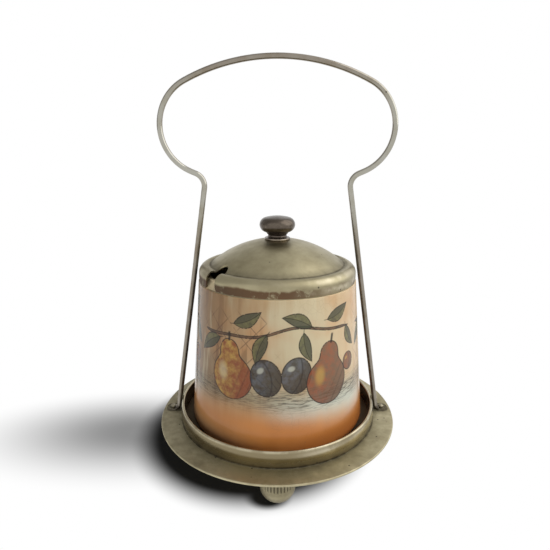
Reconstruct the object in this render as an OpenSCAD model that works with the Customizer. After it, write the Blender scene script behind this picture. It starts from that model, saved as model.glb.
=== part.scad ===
// Pottery preserve jar with a loose metal lid, in a footed metal stand with a wire carrying handle.
// Millimetres, +Z up, -Y is the front. The origin is on the floor, on the axis of the plate.

/* [Feet] */
// Height of a foot from the floor to the plate
foot_h = 13.8; // [11:0.1:20]
// Greatest diameter of a foot
foot_d = 15.2; // [12:0.1:17]
// Diameter of the flat pad that a foot stands on
pad_d = 4.4; // [2:0.1:7]
// Diameter of the neck that joins a foot to the plate
foot_neck_d = 10; // [7:0.1:11]
// Height of the neck
foot_neck_h = 0.6; // [0.4:0.1:1]
// Number of reeds round the upper half of a foot
reed_count = 32; // [12:1:36]
// Diameter of the groove between two reeds
groove_d = 0.9; // [0.5:0.1:1.2]

/* [Plate] */
// Thickness of the plate's sheet, whose edge is rounded
plate_t = 1; // [0.8:0.1:1.6]
// Width of the rim outside the gallery ring
rim_w = 10.2; // [9.8:0.1:18]
// Distance of a foot from the plate's edge
foot_inset = 3.6; // [2:0.1:6]

/* [Gallery ring] */
// Height of the ring above the plate
ring_h = 7.8; // [5:0.1:9]
// Thickness of the ring's wall at its foot, and at its top, which is rounded over
ring_t = 1.4; // [0.8:0.1:2.4]
// Radius of the swelling of the ring's outer face
swell_r = 14; // [12:0.5:30]
// Gap between the jar's widest place and the ring
jar_gap = 4; // [3.6:0.1:7]

/* [Jar] */
// Diameter at the base, before its edge is rounded
jar_base_d = 84.6; // [76:0.2:96]
// Diameter at the ledge that carries the lid
jar_top_d = 74; // [66:0.2:76]
// Height from the base to the ledge
jar_h = 69.6; // [55:0.2:90]
// Thickness of the wall
jar_wall = 3.6; // [2.6:0.1:5]
// Thickness of the floor
jar_floor = 4.6; // [3.5:0.1:7]
// Rounding of the base edge
base_round = 3.6; // [3.4:0.1:8]
// Rounding inside between the wall and the floor
floor_round = 5; // [3:0.1:8]
// Diameter of the recess under the base
recess_d = 62; // [40:0.5:66]
// Depth of the recess under the base
recess_depth = 1.2; // [0.6:0.1:2]
// Width of the ledge outside the neck
ledge_w = 1.1; // [1.1:0.1:2]
// Rounding of the ledge's outer edge
ledge_round = 0.4; // [0.2:0.05:0.8]
// Height of the neck above the ledge
neck_h = 3; // [2.6:0.1:3.2]
// Lean of the neck's outside, in degrees
neck_lean = 37; // [36.5:0.5:40]
// Rounding of the rim's edges
rim_round = 0.8; // [0.4:0.05:1]
// Width of the neck, from its foot at the ledge to the mouth
neck_w = 4.9; // [4:0.1:11]

/* [Lid] */
// Thickness of the lid's sheet
lid_t = 0.6; // [0.4:0.05:0.8]
// How far the skirt stands in from the jar's wall
skirt_inset = 0.3; // [0.1:0.05:0.5]
// Height of the straight skirt
skirt_h = 3.6; // [2.5:0.1:5]
// Rounding of the shoulder above the skirt
shoulder_r = 3.9; // [2.4:0.1:4.5]
// Width of the pressed groove round the dome
dish_w = 2; // [1.4:0.1:3]
// Depth of the pressed groove
dish_depth = 0.4; // [0.3:0.05:0.8]
// Height of the dome above the rim
dome_h = 11.1; // [7:0.1:16]
// Diameter of the flat on top of the dome, under the knob
seat_d = 12.8; // [12.4:0.1:16]
// Width of the spoon notch
notch_w = 7; // [6:0.1:10]
// Length of the spoon notch from the skirt inwards
notch_l = 8.8; // [7:0.1:14]
// Direction of the notch, in degrees from the front towards the left
notch_turn = 52; // [0:1:80]
// Rounding of the skirt's corners beside the notch
notch_corner = 2; // [0.6:0.1:2.4]

/* [Knob] */
// Diameter of the knob's cap
knob_d = 16.5; // [13:0.1:22]
// Height of the knob
knob_h = 11; // [10:0.1:16]
// Rounding of the cap's edge
cap_round = 3.4; // [2.6:0.1:3.6]
// Radius of the crown over the cap
crown_r = 22; // [14:0.5:40]
// Diameter of the knob's waist
waist_d = 8.6; // [7:0.1:10]
// Diameter of the flange that sits on the dome
flange_d = 12; // [10:0.1:12.4]
// Height of the flange
flange_h = 1.1; // [0.8:0.1:1.6]
// Radius of the flare between the flange and the waist
flare_r = 1.1; // [0.4:0.05:1.1]
// Diameter of the screw that holds the knob
screw_d = 3; // [2.5:0.1:4]
// Length of the screw above the lid's sheet
screw_reach = 7; // [4:0.1:8]
// Diameter of the screw's head
screw_head_d = 6; // [5:0.1:8]
// Height of the screw's head
screw_head_h = 2; // [1.4:0.1:2.6]
// Width of the slot in the screw's head
slot_w = 0.9; // [0.6:0.1:1.2]
// Depth of the slot in the screw's head
slot_depth = 0.9; // [0.5:0.1:1.1]
// Diameter of the washer under the screw's head
washer_d = 9; // [8.2:0.1:11]
// Thickness of the washer
washer_t = 0.8; // [0.5:0.1:1.2]

/* [Handle] */
// Diameter of the handle's wire
wire_d = 2.5; // [2:0.1:3]
// Overall width of the loop
loop_w = 106; // [100:0.5:124]
// Height of the loop's top above the knob
loop_rise = 69; // [62:0.5:90]
// Radius of the long bend over the top, at the wire's middle
top_r = 88; // [76:1:130]
// Radius of the bend at each side, at the wire's middle
side_r = 21; // [17:0.5:23]
// Slope of the straight runs under the loop, in degrees
under_slope = 23; // [20:1:36]
// Radius of the bend at each neck, at the wire's middle
neck_r = 6; // [4:0.5:8]
// Radius of the bend at each heel, at the wire's middle
heel_r = 1.6; // [1.55:0.05:2]
// Gap between a leg and the lid's shoulder
lid_leg_gap = 1.1; // [0.9:0.05:2]
// Gap between a leg and the gallery ring
ring_leg_gap = 0.3; // [0.2:0.05:0.6]
// Width of the flattened tab at each end
tab_w = 6; // [5.4:0.1:6.4]
// Thickness of the tab
tab_t = 1.4; // [1:0.05:1.6]
// Gap between a tab and the rounding of the plate's edge
tab_gap = 1.2; // [0.4:0.05:1.3]
// Diameter of a rivet's shank
rivet_d = 2; // [1.6:0.1:2.2]
// Diameter of a rivet's heads
rivet_head_d = 2.8; // [2.6:0.1:2.9]
// Height of a rivet's heads
rivet_head_h = 0.7; // [0.5:0.05:1.2]

/* [Fits] */
// Difference in diameter between a rivet or screw and its hole
hole_clear = 0.1; // [0.05:0.05:0.2]

/* [Hidden] */
$fn = 96;

plating = [0.62, 0.60, 0.49];
worn_plating = [0.55, 0.53, 0.44];
dark_bronze = [0.24, 0.21, 0.18];
glaze = [0.84, 0.72, 0.56];

// Points on a bend, and the depth by which a cut runs past a face
arc_steps = 12;
cut = 1;

// Heights above the floor
plate_z = foot_h + plate_t;
ledge_z = plate_z + jar_h;
shoulder_z = ledge_z + skirt_h;
rim_z = shoulder_z + shoulder_r;

// Radii of the stand
jar_base_r = jar_base_d / 2;
ring_r = jar_base_r + jar_gap + ring_t;
plate_r = ring_r + rim_w;
edge_r = plate_t / 2;
foot_r = foot_d / 2;
foot_circle_r = plate_r - foot_inset - foot_r;

// Radii of the jar and lid
jar_top_r = jar_top_d / 2;
neck_out_r = jar_top_r - ledge_w;
neck_in_r = neck_out_r - neck_w;
skirt_r = jar_top_r - skirt_inset;
dish_ball_r = (dish_w * dish_w / 4 + dish_depth * dish_depth) / (2 * dish_depth);
dish_r = skirt_r - shoulder_r - dish_w / 2;
dome_base_r = dish_r - dish_w / 2;
dome_r = (dome_base_r * dome_base_r + dome_h * dome_h) / (2 * dome_h);
dome_z = rim_z + dome_h - dome_r;
seat_r = seat_d / 2;
seat_z = dome_z + sqrt(dome_r * dome_r - seat_r * seat_r);
knob_top_z = seat_z + knob_h;

// Points on an arc round c, from one angle to another
function arc(c, r, from, to) =
    [for (i = [0:arc_steps]) let (a = from + (to - from) * i / arc_steps) c + r * [cos(a), sin(a)]];

// Direction from one centre to another, and the angle off it at which the circles round them meet
function way(a, b) = atan2(b[1] - a[1], b[0] - a[0]);
function meet(a, r_a, b, r_b) =
    let (d = norm(b - a))
    acos(min(1, (r_a * r_a + d * d - r_b * r_b) / (2 * r_a * d)));

function flip(list) = [for (i = [len(list) - 1:-1:0]) list[i]];

// Drops a point that repeats the one before it, where two stretches of an outline meet
same = 0.001;
function join(list) =
    [for (i = [0:len(list) - 1]) if (i == 0 || norm(list[i] - list[max(i - 1, 0)]) > same) list[i]];

// Feet

// The smooth bowl up to its widest place, the reeded drum above it and the neck under the plate
bowl_r = foot_h / 2;
bowl_in = foot_r - bowl_r;
pad_cut = bowl_r - sqrt(bowl_r * bowl_r - pow(pad_d / 2 - bowl_in, 2));
bowl_z = bowl_r - pad_cut;
drum_round = foot_r - foot_neck_d / 2;
drum_z = foot_h - drum_round - foot_neck_h;

module foot_form() {
    rotate_extrude()
        polygon(concat(
            [[0, 0]],
            arc([bowl_in, bowl_z], bowl_r, -asin(bowl_z / bowl_r), 0),
            arc([foot_r - drum_round, drum_z], drum_round, 0, 90),
            [[foot_neck_d / 2, foot_h], [0, foot_h]]
        ));
}

// One groove runs up the drum from just above the foot's widest place
module reed_groove() {
    translate([foot_r, 0, bowl_z + groove_d])
        cylinder(d = groove_d, h = foot_h - bowl_z - groove_d, $fn = 24);
}

module foot() {
    color(plating)
        difference() {
            foot_form();
            for (i = [0:reed_count - 1])
                rotate([0, 0, (i + 0.5) * 360 / reed_count])
                    reed_groove();
        }
}

module foot_at(turn) {
    rotate([0, 0, turn])
        translate([foot_circle_r, 0, 0])
            foot();
}

module foot_front() { foot_at(270); }
module foot_rear_right() { foot_at(30); }
module foot_rear_left() { foot_at(150); }

// Stand

module stand_plate() {
    color(plating)
        difference() {
            rotate_extrude()
                polygon(concat(
                    [[0, foot_h]],
                    arc([plate_r - edge_r, foot_h + edge_r], edge_r, -90, 90),
                    [[0, plate_z]]
                ));
            rivet_holes();
        }
}

// The swelling runs from the ring's foot into the rounding of its top
ring_round = ring_t / 2;
ring_foot = [ring_r, plate_z];
ring_top = [ring_r - ring_round, plate_z + ring_h - ring_round];
swell_way = way(ring_foot, ring_top) + meet(ring_foot, swell_r, ring_top, swell_r - ring_round);
swell_c = ring_foot + swell_r * [cos(swell_way), sin(swell_way)];

module gallery_ring() {
    swell_to = way(swell_c, ring_top);
    color(worn_plating)
        rotate_extrude()
            polygon(join(concat(
                [[ring_r - ring_t, plate_z]],
                arc(swell_c, swell_r, way(swell_c, ring_foot), swell_to),
                arc(ring_top, ring_round, swell_to, 180)
            )));
}

// Handle

wire_r = wire_d / 2;

// A leg is a straight line past the ring's top and past the lid's shoulder
ring_pass = [ring_r + ring_leg_gap, plate_z + ring_h];
lid_pass = [skirt_r + lid_leg_gap, shoulder_z];
lean = atan((ring_pass[0] - lid_pass[0]) / (lid_pass[1] - ring_pass[1]));
leg_point = ring_pass + wire_r * [cos(lean), sin(lean)];
function leg_x(z) = leg_point[0] + (leg_point[1] - z) * tan(lean);

// The side bend lies inside the top bend, and the run under it leaves at the given slope
loop_z = knob_top_z + loop_rise - wire_r;
top_c = [0, loop_z - top_r];
side_x = loop_w / 2 - wire_r - side_r;
side_c = [side_x, top_c[1] + sqrt(pow(top_r - side_r, 2) - side_x * side_x)];
join_angle = atan2(side_c[1] - top_c[1], side_c[0]);
under_angle = under_slope - 90;
under_in = [-cos(under_slope), -sin(under_slope)];
under_from = side_c + side_r * [cos(under_angle), sin(under_angle)];

// The run and the leg meet at the neck
under_l = (under_from[0] - leg_x(under_from[1])) / (cos(under_slope) + sin(under_slope) * tan(lean));
neck_corner = under_from + under_l * under_in;
neck_turn = 90 - under_slope + lean;
neck_trim = neck_r * tan(neck_turn / 2);
neck_c = neck_corner - neck_trim * under_in + neck_r * [sin(under_slope), -cos(under_slope)];

// The leg turns out at the heel and is flattened into the tab
heel_z = plate_z + tab_t / 2;
heel_corner = [leg_x(heel_z), heel_z];
heel_trim = heel_r * tan((90 - lean) / 2);
heel_c = heel_corner + [heel_trim, heel_r];
rivet_x = plate_r - edge_r - tab_gap - tab_w / 2;

// Points on a bend of the wire, no further apart than so many degrees or millimetres
bend_step = 9;
bend_l = 3.5;
function bend(c, r, from, to) =
    let (
        turn = abs(to - from),
        n = ceil(max(turn / bend_step, turn * r * PI / 180 / bend_l))
    )
    [for (i = [0:n]) let (a = from + (to - from) * i / n) c + r * [cos(a), sin(a)]];

// Half of the wire from the middle of the loop's top to the heel, in the handle's upright plane
half_wire = join(concat(
    bend(top_c, top_r, 90, join_angle),
    bend(side_c, side_r, join_angle, under_angle),
    bend(neck_c, neck_r, 90 + under_slope, 180 + lean),
    bend(heel_c, heel_r, 180 + lean, 270)
));
wire = join(concat(flip([for (p = half_wire) [-p[0], p[1]]]), half_wire));

// The wire's section is round, and at the heels it grows wide and flat
wire_sides = 16;
heel_n = ceil((90 - lean) / bend_step);
tab_bury = 0.1;
function flatness(i) = max(0, 1 - min(i, len(wire) - 1 - i) / heel_n);
function blend(a, b, share) = a + (b - a) * share;
function wire_way(i) = wire[min(i + 1, len(wire) - 1)] - wire[max(i - 1, 0)];
function wire_ring(i) =
    let (
        way = wire_way(i) / norm(wire_way(i)),
        half_h = blend(wire_r, tab_t / 2 - tab_bury, flatness(i)),
        half_w = blend(wire_r, tab_w / 2 - tab_bury, flatness(i))
    )
    [for (k = [0:wire_sides - 1])
        let (
            a = (k + 0.5) * 360 / wire_sides,
            up = half_h * sin(a)
        )
        [wire[i][0] - way[1] * up, half_w * cos(a), wire[i][1] + way[0] * up]];

module swept_wire() {
    rings = len(wire);
    points = [for (i = [0:rings - 1]) each wire_ring(i)];
    sides = [for (i = [0:rings - 2]) for (k = [0:wire_sides - 1])
        let (
            a = i * wire_sides + k,
            b = i * wire_sides + (k + 1) % wire_sides
        )
        each [[a, b + wire_sides, b], [a, a + wire_sides, b + wire_sides]]];
    first = [for (k = [0:wire_sides - 1]) k];
    last = [for (k = [wire_sides - 1:-1:0]) (rings - 1) * wire_sides + k];
    polyhedron(points, concat(sides, [first, last]));
}

module tab() {
    tab_x = heel_corner[0];
    translate([0, 0, plate_z])
        linear_extrude(tab_t)
            union() {
                translate([tab_x, -tab_w / 2])
                    square([rivet_x - tab_x, tab_w]);
                translate([rivet_x, 0])
                    circle(tab_w / 2);
            }
}

module carry_handle() {
    color(worn_plating)
        difference() {
            union() {
                swept_wire();
                tab();
                mirror([1, 0, 0])
                    tab();
            }
            rivet_holes();
        }
}

module rivet_holes() {
    for (side = [-1, 1])
        translate([side * rivet_x, 0, foot_h - cut])
            cylinder(d = rivet_d + hole_clear, h = plate_t + tab_t + 2 * cut, $fn = 32);
}

// A domed head on the tab, and one hammered over under the plate
module rivet() {
    grip = plate_t + tab_t;
    head_r = rivet_head_d / 2;
    ball_r = (head_r * head_r + rivet_head_h * rivet_head_h) / (2 * rivet_head_h);
    half_turn = asin(head_r / ball_r);
    top = arc([0, grip + rivet_head_h - ball_r], ball_r, 90 - half_turn, 90);
    bottom = arc([0, ball_r - rivet_head_h], ball_r, 270, 270 + half_turn);
    translate([0, 0, foot_h])
        rotate_extrude($fn = 32)
            polygon(concat(bottom, [[rivet_d / 2, 0], [rivet_d / 2, grip]], top));
}

module handle_rivets() {
    color(worn_plating)
        for (side = [-1, 1])
            translate([side * rivet_x, 0, 0])
                rivet();
}

// Jar

// The wall leans in by this angle, and the base edge is rounded where it meets the floor
wall_lean = atan((jar_base_r - jar_top_r) / jar_h);
base_c = [jar_base_r - base_round * (tan(wall_lean) + 1 / cos(wall_lean)), base_round];
inner_base_r = jar_base_r - jar_wall / cos(wall_lean);
inner_c = [
    inner_base_r - (jar_floor + floor_round) * tan(wall_lean) - floor_round / cos(wall_lean),
    jar_floor + floor_round
];
rim_z_in = jar_h + neck_h - rim_round;
rim_out = neck_out_r - (neck_h - rim_round) * tan(neck_lean) - rim_round / cos(neck_lean);
mouth_z = jar_h - jar_wall;
foot_bevel = recess_depth / 2;

module jar_body() {
    color(glaze)
        translate([0, 0, plate_z])
            rotate_extrude()
                polygon(concat(
                    [[0, recess_depth], [recess_d / 2 - foot_bevel, recess_depth], [recess_d / 2, 0]],
                    arc(base_c, base_round, -90, wall_lean),
                    arc([jar_top_r - ledge_round, jar_h - ledge_round], ledge_round, wall_lean, 90),
                    [[neck_out_r, jar_h]],
                    arc([rim_out, rim_z_in], rim_round, neck_lean, 90),
                    arc([neck_in_r + rim_round, rim_z_in], rim_round, 90, 180),
                    [[neck_in_r, jar_h], [inner_base_r - mouth_z * tan(wall_lean), mouth_z]],
                    arc(inner_c, floor_round, wall_lean, -90),
                    [[0, jar_floor]]
                ));
}

// Lid

// The outer face of the lid from the skirt to the screw hole, or the face that lies inset under it
shoulder_c = [skirt_r - shoulder_r, shoulder_z];
dish_c = [dish_r, rim_z + dish_ball_r - dish_depth];
dome_c = [0, dome_z];
function lid_face(inset, hole_r) =
    let (
        bend_r = shoulder_r - inset,
        groove_r = dish_ball_r + inset,
        cap_r = dome_r - inset,
        shoulder_to = way(shoulder_c, dish_c) - meet(shoulder_c, bend_r, dish_c, groove_r),
        dish_from = way(dish_c, shoulder_c) + meet(dish_c, groove_r, shoulder_c, bend_r),
        dish_to = way(dish_c, dome_c) - meet(dish_c, groove_r, dome_c, cap_r),
        dome_from = way(dome_c, dish_c) + meet(dome_c, cap_r, dish_c, groove_r),
        seat_from = asin((seat_z - inset - dome_z) / cap_r)
    )
    concat(
        [[skirt_r - inset, ledge_z]],
        arc(shoulder_c, bend_r, 0, shoulder_to),
        arc(dish_c, groove_r, dish_from, dish_to),
        arc(dome_c, cap_r, dome_from, seat_from),
        [[hole_r, seat_z - inset]]
    );

module spoon_notch() {
    end_r = notch_w / 2;
    end_x = skirt_r - notch_l + end_r;
    rotate([0, 0, 270 - notch_turn])
        translate([0, 0, ledge_z - cut]) {
            linear_extrude(seat_z - ledge_z) {
                translate([end_x, -end_r])
                    square([skirt_r - end_x + cut, notch_w]);
                translate([end_x, 0])
                    circle(end_r, $fn = 48);
            }
            notch_flare(end_r);
        }
}

// Rounds the skirt's lower corners beside the notch
module notch_flare(half_w) {
    depth = 2 * shoulder_r;
    corner = arc([half_w + notch_corner, cut + notch_corner], notch_corner, 270, 180);
    half = concat([[half_w + notch_corner, 0]], corner, [[0, cut + 2 * notch_corner]]);
    translate([skirt_r - depth, 0, 0])
        rotate([90, 0, 90])
            linear_extrude(depth + cut)
                polygon(concat(half, flip([for (p = half) [-p[0], p[1]]])));
}

module lid_shell() {
    hole_r = (screw_d + hole_clear) / 2;
    color(plating)
        difference() {
            rotate_extrude()
                polygon(join(concat(lid_face(0, hole_r), flip(lid_face(lid_t, hole_r)))));
            spoon_notch();
        }
}

// Knob

module lid_knob() {
    knob_r = knob_d / 2;
    waist_r = waist_d / 2;
    flange_r = flange_d / 2;
    bead_r = flange_h / 2;
    fillet_r = min(flare_r, flange_r - bead_r - waist_r);
    crown_turn = acos((knob_r - cap_round) / (crown_r - cap_round));
    crown_c = [0, knob_h - crown_r];
    cap_c = crown_c + (crown_r - cap_round) * [cos(crown_turn), sin(crown_turn)];
    cap_low = asin((cap_c[0] - waist_r) / cap_round);
    color(dark_bronze)
        translate([0, 0, seat_z])
            difference() {
                rotate_extrude()
                    polygon(join(concat(
                        [[0, 0]],
                        arc([flange_r - bead_r, bead_r], bead_r, -90, 90),
                        arc([waist_r + fillet_r, flange_h + fillet_r], fillet_r, 270, 180),
                        arc(cap_c, cap_round, cap_low - 90, crown_turn),
                        arc(crown_c, crown_r, crown_turn, 90)
                    )));
                translate([0, 0, -cut])
                    cylinder(d = screw_d + hole_clear, h = screw_reach + 2 * cut, $fn = 32);
            }
}

washer_z = seat_z - lid_t - washer_t;

module knob_washer() {
    color(worn_plating)
        translate([0, 0, washer_z])
            difference() {
                cylinder(d = washer_d, h = washer_t, $fn = 48);
                translate([0, 0, -cut])
                    cylinder(d = screw_d + hole_clear, h = washer_t + 2 * cut, $fn = 32);
            }
}

module knob_screw() {
    color(worn_plating)
        difference() {
            union() {
                translate([0, 0, washer_z - screw_head_h])
                    cylinder(d = screw_head_d, h = screw_head_h, $fn = 48);
                translate([0, 0, washer_z - screw_head_h / 2])
                    cylinder(d = screw_d, h = screw_head_h / 2 + washer_t + lid_t + screw_reach, $fn = 32);
            }
            translate([-screw_head_d, -slot_w / 2, washer_z - screw_head_h - cut])
                cube([2 * screw_head_d, slot_w, slot_depth + cut]);
        }
}

stand_plate();
gallery_ring();
carry_handle();
handle_rivets();
foot_front();
foot_rear_right();
foot_rear_left();
jar_body();
lid_shell();
lid_knob();
knob_screw();
knob_washer();
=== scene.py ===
"""Dresses the preserve jar and its stand: metal with age, painted shade and painted highlights on it, glazed pottery
with painted light and shade on its sides, and a plain studio whose floor carries a painted shadow.
"""

import math

import bmesh
import bpy
from bpy.props import FloatProperty, FloatVectorProperty, IntProperty, PointerProperty
from bpy.types import Operator, Panel, PropertyGroup
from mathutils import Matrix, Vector


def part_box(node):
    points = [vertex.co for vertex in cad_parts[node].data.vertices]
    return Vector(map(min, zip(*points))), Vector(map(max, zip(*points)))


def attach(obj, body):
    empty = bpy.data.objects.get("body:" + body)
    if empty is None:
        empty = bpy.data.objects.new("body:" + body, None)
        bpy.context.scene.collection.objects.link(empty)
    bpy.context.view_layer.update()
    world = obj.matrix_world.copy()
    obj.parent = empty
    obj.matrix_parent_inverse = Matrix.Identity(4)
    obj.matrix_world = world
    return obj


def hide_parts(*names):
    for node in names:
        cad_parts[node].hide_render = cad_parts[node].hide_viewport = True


bl_info = {
    "name": "Preserve jar in a stand",
    "version": (1, 0, 0),
    "blender": (4, 5, 0),
    "location": "3D View > Sidebar > Preserve jar",
    "description": "Models a lidded pottery jar in a footed metal stand with a wire handle",
    "category": "Object",
}

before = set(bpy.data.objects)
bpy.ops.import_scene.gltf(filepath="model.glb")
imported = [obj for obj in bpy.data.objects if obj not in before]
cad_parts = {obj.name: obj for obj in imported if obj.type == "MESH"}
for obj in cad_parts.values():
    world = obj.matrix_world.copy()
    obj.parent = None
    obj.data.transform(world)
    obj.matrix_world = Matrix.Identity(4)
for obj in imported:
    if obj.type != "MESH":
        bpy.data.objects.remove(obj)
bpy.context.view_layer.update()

MM = 0.001


# Properties

def linear(*channels):
    """Turns screen values from 0 to 255 into scene colour."""
    shares = [c / 255 for c in channels]
    return tuple(s / 12.92 if s <= 0.04045 else ((s + 0.055) / 1.055) ** 2.4 for s in shares)


def length(name, words, mm):
    """A length property with its default in millimetres."""
    return FloatProperty(name=name, description=words, default=mm * MM, min=0,
                         unit="LENGTH", subtype="DISTANCE", precision=5)


def colour(name, words, *channels):
    """A colour property with its default in screen values."""
    return FloatVectorProperty(name=name, description=words, default=linear(*channels),
                               size=3, min=0, max=1, subtype="COLOR")


def angle(name, words, degrees):
    """An angle property with its default in degrees."""
    return FloatProperty(name=name, description=words, default=math.radians(degrees), subtype="ANGLE")


class StandSizes(PropertyGroup):
    """Sizes of the plate, ring, feet and rivets."""
    plate_radius: length("Plate radius", "Outside radius of the plate", 57.9)
    plate_top: length("Plate top", "Height of the plate's upper face above the floor", 14.8)
    plate_sheet: length("Plate sheet", "Thickness of the plate, whose edge is rounded", 1)
    ring_radius: length("Ring radius", "Outside radius of the gallery ring", 47.7)
    ring_height: length("Ring height", "Height of the gallery ring above the plate", 7.8)
    ring_wall: length("Ring wall", "Thickness of the gallery ring at its foot and top", 1.4)
    ring_swell: length("Ring swell", "Radius of the swelling of the ring's outer face", 14)
    foot_radius: length("Foot radius", "Greatest radius of a foot", 7.6)
    foot_neck: length("Foot neck", "Radius of a foot where it meets the plate", 5)
    foot_neck_height: length("Foot neck height", "Height of the foot's neck", 0.6)
    foot_pad: length("Foot pad", "Radius of the pad that a foot stands on", 2.2)
    foot_circle: length("Foot circle", "Distance of the feet from the axis", 46.7)
    reeds: IntProperty(name="Reeds", description="Reeds round a foot", default=32, min=8)
    reed_depth: length("Reed depth", "Depth of the grooves between reeds", 0.45)
    rivet_place: length("Rivet place", "Distance of the rivets from the axis", 53.2)
    rivet_shank: length("Rivet shank", "Radius of a rivet's shank", 1)
    rivet_head: length("Rivet head", "Radius of a rivet's head", 1.4)
    rivet_rise: length("Rivet rise", "Height of a rivet's head", 0.7)


class HandleSizes(PropertyGroup):
    """Sizes of the bent wire."""
    wire: length("Wire radius", "Radius of the wire", 1.25)
    top_height: length("Loop top", "Height of the wire's middle at the top of the loop", 181.32)
    top_bend: length("Top bend", "Radius of the long bend over the top", 88)
    side_bend: length("Side bend", "Radius of the bends at the sides", 21)
    half_width: length("Half width", "Half of the loop's width, to the wire's middle", 51.75)
    under_slope: angle("Under slope", "Slope of the runs under the loop", 23)
    neck_bend: length("Neck bend", "Radius of the bends at the necks", 6)
    heel_bend: length("Heel bend", "Radius of the bends at the heels", 1.6)
    leg_low: length("Leg at the ring", "Clear half width of the legs at the ring's top", 48)
    leg_high: length("Leg at the lid", "Clear half width of the legs at the lid's shoulder", 37.8)
    tab_half: length("Tab half width", "Half of the width of the flattened ends", 3)
    tab_sheet: length("Tab thickness", "Thickness of the flattened ends", 1.4)


class JarSizes(PropertyGroup):
    """Sizes of the pottery jar."""
    base_radius: length("Base radius", "Radius at the base before its edge is rounded", 42.3)
    top_radius: length("Top radius", "Radius at the ledge", 37)
    height: length("Height", "Height from the base to the ledge", 69.6)
    wall: length("Wall", "Thickness of the wall", 3.6)
    floor: length("Floor", "Thickness of the floor", 4.6)
    base_round: length("Base rounding", "Rounding of the base edge", 3.6)
    floor_round: length("Floor rounding", "Rounding inside at the floor", 5)
    recess: length("Recess", "Radius of the recess under the base", 31)
    recess_depth: length("Recess depth", "Depth of the recess under the base", 1.2)
    ledge: length("Ledge", "Width of the ledge", 1.1)
    ledge_round: length("Ledge rounding", "Rounding of the ledge's edge", 0.4)
    neck: length("Neck", "Height of the neck", 3)
    neck_lean: angle("Neck lean", "Lean of the neck's outside", 37)
    rim_round: length("Rim rounding", "Rounding of the rim's edges", 0.8)
    neck_width: length("Neck width", "Width of the neck, from its foot at the ledge to the mouth", 4.9)


class LidSizes(PropertyGroup):
    """Sizes of the spun lid and its knob."""
    sheet: length("Sheet", "Thickness of the lid", 0.6)
    radius: length("Radius", "Outside radius of the skirt", 36.7)
    skirt: length("Skirt", "Height of the straight skirt", 3.6)
    shoulder: length("Shoulder", "Rounding of the shoulder", 3.9)
    groove: length("Groove", "Half of the groove's width", 1)
    groove_depth: length("Groove depth", "Depth of the pressed groove", 0.4)
    dome: length("Dome", "Height of the dome above the rim", 11.1)
    seat: length("Seat", "Radius of the flat under the knob", 6.4)
    notch: length("Notch", "Half of the spoon notch's width", 3.5)
    notch_length: length("Notch length", "Length of the notch from the skirt inwards", 8.8)
    notch_corner: length("Notch corner", "Rounding of the skirt's corners at the notch", 2)
    notch_turn: angle("Notch turn", "Direction of the notch from the front to the left", 52)
    knob: length("Knob", "Greatest radius of the knob", 8.25)
    knob_height: length("Knob height", "Height of the knob", 11)
    cap_round: length("Cap rounding", "Rounding of the cap's edge", 3.4)
    crown: length("Crown", "Radius of the crown over the cap", 22)
    waist: length("Waist", "Radius of the knob's waist", 4.3)
    flange: length("Flange", "Radius of the knob's flange", 6)
    flange_height: length("Flange height", "Height of the knob's flange", 1.1)
    flare: length("Flare", "Radius of the flare between the flange and the waist", 1.1)


class Finishes(PropertyGroup):
    """Colours of the metal and pottery; several also carry painted light and shade."""
    plate_silver: colour("Plate silver", "Clean plated metal", 170, 161, 131)
    plate_clean: colour("Plate clean", "The plate's clean metal", 196, 187, 155)
    ring_silver: colour("Ring silver", "The ring's clean metal", 136, 124, 97)
    # Pale silver: edges kept bright by wear, and also painted highlights on the side towards the light.
    rub_and_sheen: colour("Rubbed silver", "Edges and bends that hands and cloths keep bright", 214, 204, 178)
    tarnish: colour("Tarnish", "Dull film on the plate", 136, 126, 98)
    # The bare-metal layer: real wear on the lid's skirt and the handle, and painted shade on the wire's sides and on
    # the plate inside the ring.
    copper_and_shade: colour("Copper", "Metal under worn plate", 104, 82, 62)
    grime_and_shade: colour("Grime", "Dirt in creases and pits", 44, 37, 26)
    # Painted reflection and shade: a brown laid on the ring's inner wall for the jar's foot mirrored there and the
    # dark gap.
    shade: colour("Shaded plate", "Plate inside the ring, where it was never rubbed", 132, 106, 86)
    wire_grey: colour("Wire grey", "The handle's worn plate", 172, 170, 160)
    bronze: colour("Bronze", "The dark knob", 88, 79, 70)
    bronze_worn: colour("Worn bronze", "Rubbed places on the knob", 166, 154, 138)
    cream: colour("Cream", "Bare glaze", 216, 201, 165)
    # Pale glaze: real inside the jar; also painted light on the neck under the lid and on the upper right of the
    # wall.
    lining_and_light: colour("Lining", "Glaze inside the jar and on its neck", 242, 224, 184)
    tan: colour("Tan", "Brushed shading of the jar's upper part", 194, 158, 114)
    biscuit: colour("Biscuit", "Deeper shading on the side away from the light", 136, 99, 60)
    # Warm tone: blotches of the brushed shading, and painted warm light on the upper right of the wall.
    peach_and_warm_light: colour("Peach", "Warm blotches of the brushed shading", 206, 152, 102)
    mist: colour("Mist", "Cool wash above the base", 216, 216, 198)
    amber: colour("Amber", "Band over the base", 222, 144, 74)
    umber: colour("Umber", "Foot of the band", 158, 86, 36)
    # Dark colour for real soiling and pits, and for painted shade in creases, under the plate and on the sides away
    # from the light.
    ink: colour("Ink", "Drawn outlines", 50, 42, 35)
    rust: colour("Rust", "Ripe fruit", 150, 76, 44)
    ochre: colour("Ochre", "Pale fruit", 208, 168, 84)
    slate: colour("Slate", "Dark fruit", 88, 96, 106)
    olive: colour("Olive", "Leaves, in the light", 118, 116, 72)
    fern: colour("Fern", "Leaves, in the shade", 72, 76, 56)
    bark: colour("Bark", "Twig", 112, 82, 60)


# Shader expressions

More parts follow.
